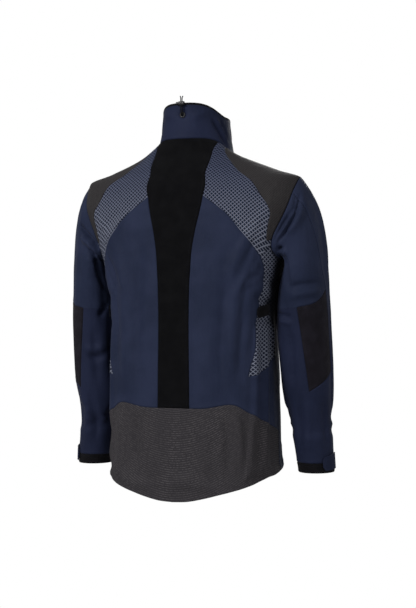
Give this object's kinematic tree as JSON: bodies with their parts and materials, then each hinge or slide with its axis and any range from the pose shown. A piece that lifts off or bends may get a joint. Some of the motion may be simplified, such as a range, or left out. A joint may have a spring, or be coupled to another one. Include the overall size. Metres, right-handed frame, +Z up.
{
  "type": "foul weather jacket",
  "caption": "Hip-length sailing jacket with high zipped collar, drop tail, set-in sleeves with elbow patches, adjustable cuffs and waist, and zipped hand pockets.",
  "frame": {"origin": "level of the collar seam at the centre of the back, on the jacket's middle plane and on the vertical line through the wearer's neck", "axes": "+Z up towards the collar rim, +Y out of the back, -Y out of the zipped front, +X towards the wearer's left"},
  "size_m": [0.601, 0.2826, 0.8505],
  "materials": {
    "black_stretch": "black stretch knit",
    "drawcord": "braided elastic cord",
    "hook_and_loop": "hook and loop tape",
    "lining_black": "brushed tricot",
    "moulded_black": "moulded acetal and coated zip",
    "navy_shell": "taut laminated softshell, matt",
    "printed_shell": "navy with a light diamond lattice print",
    "ribbed_grey": "dark grey cross-ribbed stretch",
    "ripstop_grey": "dark grey-brown ripstop"
  },
  "bodies": {
    "root": {"back_centre_panel": "black_stretch", "back_panel_left": "navy_shell", "back_panel_right": "navy_shell", "collar_drawcord": "drawcord", "collar_eyelet": "moulded_black", "collar_lining": "lining_black", "collar_outer": "navy_shell", "front_panel_left": "navy_shell", "front_panel_right": "navy_shell", "hanger_loop": "black_stretch", "pocket_bag_left": "lining_black", "pocket_bag_right": "lining_black", "pocket_zip_front_left": "moulded_black", "pocket_zip_front_right": "moulded_black", "pocket_zip_rear_left": "moulded_black", "pocket_zip_rear_right": "moulded_black", "shoulder_panel_left": "ripstop_grey", "shoulder_panel_right": "ripstop_grey", "side_panel_left": "printed_shell", "side_panel_right": "printed_shell", "tail_panel": "ribbed_grey", "waist_hook_patch_left": "hook_and_loop", "waist_hook_patch_right": "hook_and_loop", "yoke_panel_left": "printed_shell", "yoke_panel_right": "printed_shell", "zip_guard": "lining_black", "zip_stop": "moulded_black", "zip_tape_left": "black_stretch", "zip_tape_right": "black_stretch", "zip_teeth_left": "moulded_black", "zip_teeth_right": "moulded_black"},
    "zip_slider": {"zip_slider": "moulded_black"},
    "zip_pull": {"zip_pull": "moulded_black"},
    "cord_lock": {"cord_lock_barrel": "moulded_black"},
    "cord_lock_plunger": {"cord_lock_plunger": "moulded_black"},
    "pocket_slider_left": {"pocket_slider_left": "moulded_black"},
    "pocket_pull_left": {"pocket_pull_left": "moulded_black"},
    "waist_tab_left": {"waist_tab_left": "black_stretch"},
    "upper_sleeve_left": {"sleeve_back_upper_left": "navy_shell", "sleeve_front_upper_left": "navy_shell"},
    "forearm_sleeve_left": {"elbow_patch_left": "black_stretch", "sleeve_back_lower_left": "navy_shell", "sleeve_front_lower_left": "navy_shell", "cuff_band_left": "black_stretch", "cuff_hook_patch_left": "hook_and_loop"},
    "cuff_tab_left": {"cuff_tab_left": "navy_shell"},
    "pocket_slider_right": {"pocket_slider_right": "moulded_black"},
    "pocket_pull_right": {"pocket_pull_right": "moulded_black"},
    "waist_tab_right": {"waist_tab_right": "black_stretch"},
    "upper_sleeve_right": {"sleeve_back_upper_right": "navy_shell", "sleeve_front_upper_right": "navy_shell"},
    "forearm_sleeve_right": {"elbow_patch_right": "black_stretch", "sleeve_back_lower_right": "navy_shell", "sleeve_front_lower_right": "navy_shell", "cuff_band_right": "black_stretch", "cuff_hook_patch_right": "hook_and_loop"},
    "cuff_tab_right": {"cuff_tab_right": "navy_shell"}
  },
  "joints": [
    {"name": "front_zip_slide", "type": "slide", "parent": "root", "child": "zip_slider", "axis": [0, -0.0748, -0.9972], "range_m": [0, 0.705]},
    {"name": "front_zip_pull_hinge", "type": "hinge", "parent": "zip_slider", "child": "zip_pull", "pos_m": [0, -0.10466, 0.0313], "axis": [-1, 0, 0], "range_deg": [0, 150]},
    {"name": "pocket_zip_slide_left", "type": "slide", "parent": "root", "child": "pocket_slider_left", "axis": [0.0198, -0.0665, -0.9976], "range_m": [0, 0.14]},
    {"name": "pocket_zip_pull_hinge_left", "type": "hinge", "parent": "pocket_slider_left", "child": "pocket_pull_left", "pos_m": [0.1292, -0.12154, -0.42994], "axis": [-0.9137, -0.4063, 0.0089], "range_deg": [0, 150]},
    {"name": "pocket_zip_slide_right", "type": "slide", "parent": "root", "child": "pocket_slider_right", "axis": [-0.0198, -0.0665, -0.9976], "range_m": [0, 0.14]},
    {"name": "pocket_zip_pull_hinge_right", "type": "hinge", "parent": "pocket_slider_right", "child": "pocket_pull_right", "pos_m": [-0.1292, -0.12154, -0.42994], "axis": [-0.9137, 0.4063, -0.0089], "range_deg": [0, 150]},
    {"name": "cord_lock_slide", "type": "slide", "parent": "root", "child": "cord_lock", "axis": [0, 0, 1], "range_m": [-0.004, 0.006]},
    {"name": "cord_lock_press", "type": "slide", "parent": "cord_lock", "child": "cord_lock_plunger", "axis": [-1, 0, 0], "range_m": [0, 0.0025], "stiffness_N_per_m": 400},
    {"name": "waist_tab_peel_left", "type": "hinge", "parent": "root", "child": "waist_tab_left", "pos_m": [0.18117, 0.03154, -0.36131], "axis": [0, 0, -1], "range_deg": [0, 85]},
    {"name": "waist_tab_peel_right", "type": "hinge", "parent": "root", "child": "waist_tab_right", "pos_m": [-0.18117, 0.03154, -0.36131], "axis": [0, 0, 1], "range_deg": [0, 85]},
    {"name": "shoulder_raise_left", "type": "hinge", "parent": "root", "child": "upper_sleeve_left", "pos_m": [0.23833, 0, -0.08359], "axis": [0, -1, 0], "range_deg": [0, 40]},
    {"name": "elbow_bend_left", "type": "hinge", "parent": "upper_sleeve_left", "child": "forearm_sleeve_left", "pos_m": [0.23856, -0.08929, -0.362], "axis": [-1, 0, 0], "range_deg": [0, 70]},
    {"name": "cuff_tab_peel_left", "type": "hinge", "parent": "forearm_sleeve_left", "child": "cuff_tab_left", "pos_m": [0.29839, -0.05675, -0.68081], "axis": [0, 0, -1], "range_deg": [0, 100]},
    {"name": "shoulder_raise_right", "type": "hinge", "parent": "root", "child": "upper_sleeve_right", "pos_m": [-0.23833, 0, -0.08359], "axis": [0, 1, 0], "range_deg": [0, 40]},
    {"name": "elbow_bend_right", "type": "hinge", "parent": "upper_sleeve_right", "child": "forearm_sleeve_right", "pos_m": [-0.23856, -0.08929, -0.362], "axis": [-1, 0, 0], "range_deg": [0, 70]},
    {"name": "cuff_tab_peel_right", "type": "hinge", "parent": "forearm_sleeve_right", "child": "cuff_tab_right", "pos_m": [-0.29839, -0.05675, -0.68081], "axis": [0, 0, 1], "range_deg": [0, 100]}
  ]
}
